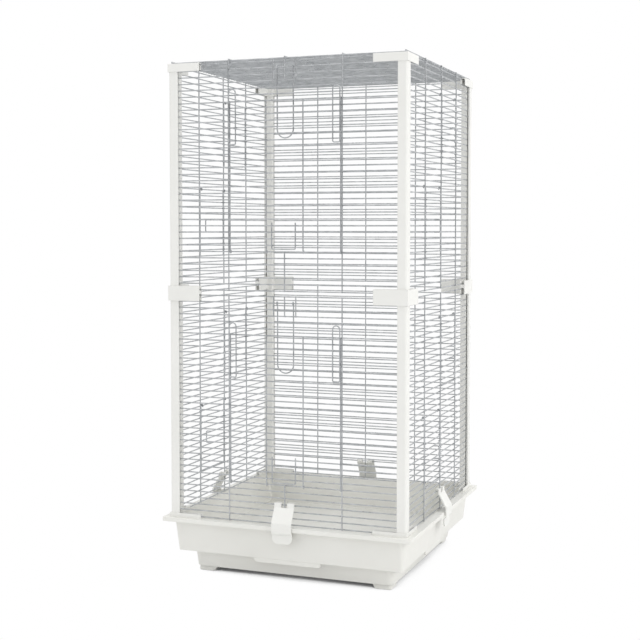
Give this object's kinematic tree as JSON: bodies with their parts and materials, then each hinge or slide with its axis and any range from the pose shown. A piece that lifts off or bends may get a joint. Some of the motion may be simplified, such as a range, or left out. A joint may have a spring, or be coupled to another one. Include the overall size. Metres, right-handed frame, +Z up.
{
  "type": "bird cage",
  "caption": "Tall square bird cage: wire walls in stacked tiers on white corner posts, with front doors, side feeder flaps, a wire roof and a moulded pan on a plinth.",
  "frame": {"origin": "on the floor under the middle of the cage", "axes": "+Z up, the doors' front towards -Y, +X to the right seen from the front"},
  "size_m": [0.4756, 0.4756, 0.922],
  "materials": {
    "wire": "zinc-plated steel wire",
    "frame_plastic": "moulded off-white plastic",
    "base_plastic": "moulded off-white plastic",
    "clip_plastic": "moulded white plastic"
  },
  "bodies": {
    "cage": {"base_plinth": "base_plastic", "foot_front_left": "base_plastic", "foot_front_right": "base_plastic", "foot_back_left": "base_plastic", "foot_back_right": "base_plastic", "base_pan": "base_plastic", "bottom_corner_front_right": "frame_plastic", "bottom_corner_front_left": "frame_plastic", "bottom_corner_back_right": "frame_plastic", "bottom_corner_back_left": "frame_plastic", "lower_post_front_right": "frame_plastic", "lower_post_front_left": "frame_plastic", "lower_post_back_right": "frame_plastic", "lower_post_back_left": "frame_plastic", "middle_joint_front_right": "frame_plastic", "middle_joint_front_left": "frame_plastic", "middle_joint_back_right": "frame_plastic", "middle_joint_back_left": "frame_plastic", "upper_post_front_right": "frame_plastic", "upper_post_front_left": "frame_plastic", "upper_post_back_right": "frame_plastic", "upper_post_back_left": "frame_plastic", "top_cap_front_right": "frame_plastic", "top_cap_front_left": "frame_plastic", "top_cap_back_right": "frame_plastic", "top_cap_back_left": "frame_plastic", "lower_front_wall": "wire", "lower_back_wall": "wire", "lower_left_wall": "wire", "lower_right_wall": "wire", "upper_front_wall": "wire", "upper_back_wall": "wire", "upper_left_wall": "wire", "upper_right_wall": "wire", "roof_grille": "wire"},
    "lower_door": {"lower_front_door": "wire"},
    "lower_left_catch": {"lower_left_catch": "wire"},
    "lower_right_catch": {"lower_right_catch": "wire"},
    "lower_hanger": {"lower_hanger": "wire"},
    "lower_left_front_flap": {"lower_left_front_flap": "wire"},
    "lower_left_back_flap": {"lower_left_back_flap": "wire"},
    "lower_right_front_flap": {"lower_right_front_flap": "wire"},
    "lower_right_back_flap": {"lower_right_back_flap": "wire"},
    "upper_door": {"upper_front_door": "wire"},
    "upper_left_catch": {"upper_left_catch": "wire"},
    "upper_right_catch": {"upper_right_catch": "wire"},
    "upper_hanger": {"upper_hanger": "wire"},
    "upper_left_front_flap": {"upper_left_front_flap": "wire"},
    "upper_left_back_flap": {"upper_left_back_flap": "wire"},
    "upper_right_front_flap": {"upper_right_front_flap": "wire"},
    "upper_right_back_flap": {"upper_right_back_flap": "wire"},
    "clip_front": {"clip_front": "clip_plastic"},
    "clip_back": {"clip_back": "clip_plastic"},
    "clip_left": {"clip_left": "clip_plastic"},
    "clip_right": {"clip_right": "clip_plastic"}
  },
  "joints": [
    {"name": "lower_door_hinge", "type": "hinge", "parent": "cage", "child": "lower_door", "pos_m": [0, -0.2176, 0.17534], "axis": [1, 0, 0], "range_deg": [0, 90]},
    {"name": "lower_left_catch_slide", "type": "slide", "parent": "lower_door", "child": "lower_left_catch", "axis": [0, 0, 1], "range_m": [0, 0.02]},
    {"name": "lower_right_catch_slide", "type": "slide", "parent": "lower_door", "child": "lower_right_catch", "axis": [0, 0, 1], "range_m": [0, 0.02]},
    {"name": "lower_hanger_swing", "type": "hinge", "parent": "cage", "child": "lower_hanger", "pos_m": [0, -0.2176, 0.4947], "axis": [1, 0, 0], "range_deg": [0, 75]},
    {"name": "lower_left_front_flap_hinge", "type": "hinge", "parent": "cage", "child": "lower_left_front_flap", "pos_m": [-0.2176, -0.0531, 0.2894], "axis": [0, 1, 0], "range_deg": [0, 100]},
    {"name": "lower_left_back_flap_hinge", "type": "hinge", "parent": "cage", "child": "lower_left_back_flap", "pos_m": [-0.2176, 0.0531, 0.46049], "axis": [0, 1, 0], "range_deg": [0, 100]},
    {"name": "lower_right_front_flap_hinge", "type": "hinge", "parent": "cage", "child": "lower_right_front_flap", "pos_m": [0.2176, -0.0531, 0.2894], "axis": [0, -1, 0], "range_deg": [0, 100]},
    {"name": "lower_right_back_flap_hinge", "type": "hinge", "parent": "cage", "child": "lower_right_back_flap", "pos_m": [0.2176, 0.0531, 0.46049], "axis": [0, -1, 0], "range_deg": [0, 100]},
    {"name": "upper_door_hinge", "type": "hinge", "parent": "cage", "child": "upper_door", "pos_m": [0, -0.2176, 0.58405], "axis": [1, 0, 0], "range_deg": [0, 90]},
    {"name": "upper_left_catch_slide", "type": "slide", "parent": "upper_door", "child": "upper_left_catch", "axis": [0, 0, 1], "range_m": [0, 0.02]},
    {"name": "upper_right_catch_slide", "type": "slide", "parent": "upper_door", "child": "upper_right_catch", "axis": [0, 0, 1], "range_m": [0, 0.02]},
    {"name": "upper_hanger_swing", "type": "hinge", "parent": "cage", "child": "upper_hanger", "pos_m": [0, -0.2176, 0.90341], "axis": [1, 0, 0], "range_deg": [0, 75]},
    {"name": "upper_left_front_flap_hinge", "type": "hinge", "parent": "cage", "child": "upper_left_front_flap", "pos_m": [-0.2176, -0.0531, 0.69811], "axis": [0, 1, 0], "range_deg": [0, 100]},
    {"name": "upper_left_back_flap_hinge", "type": "hinge", "parent": "cage", "child": "upper_left_back_flap", "pos_m": [-0.2176, 0.0531, 0.8692], "axis": [0, 1, 0], "range_deg": [0, 100]},
    {"name": "upper_right_front_flap_hinge", "type": "hinge", "parent": "cage", "child": "upper_right_front_flap", "pos_m": [0.2176, -0.0531, 0.69811], "axis": [0, -1, 0], "range_deg": [0, 100]},
    {"name": "upper_right_back_flap_hinge", "type": "hinge", "parent": "cage", "child": "upper_right_back_flap", "pos_m": [0.2176, 0.0531, 0.8692], "axis": [0, -1, 0], "range_deg": [0, 100]},
    {"name": "clip_front_hinge", "type": "hinge", "parent": "cage", "child": "clip_front", "pos_m": [0, -0.2176, 0.14112], "axis": [-1, 0, 0], "range_deg": [0, 65]},
    {"name": "clip_back_hinge", "type": "hinge", "parent": "cage", "child": "clip_back", "pos_m": [0, 0.2176, 0.14112], "axis": [1, 0, 0], "range_deg": [0, 65]},
    {"name": "clip_left_hinge", "type": "hinge", "parent": "cage", "child": "clip_left", "pos_m": [-0.2176, 0, 0.14112], "axis": [0, 1, 0], "range_deg": [0, 65]},
    {"name": "clip_right_hinge", "type": "hinge", "parent": "cage", "child": "clip_right", "pos_m": [0.2176, 0, 0.14112], "axis": [0, -1, 0], "range_deg": [0, 65]}
  ]
}
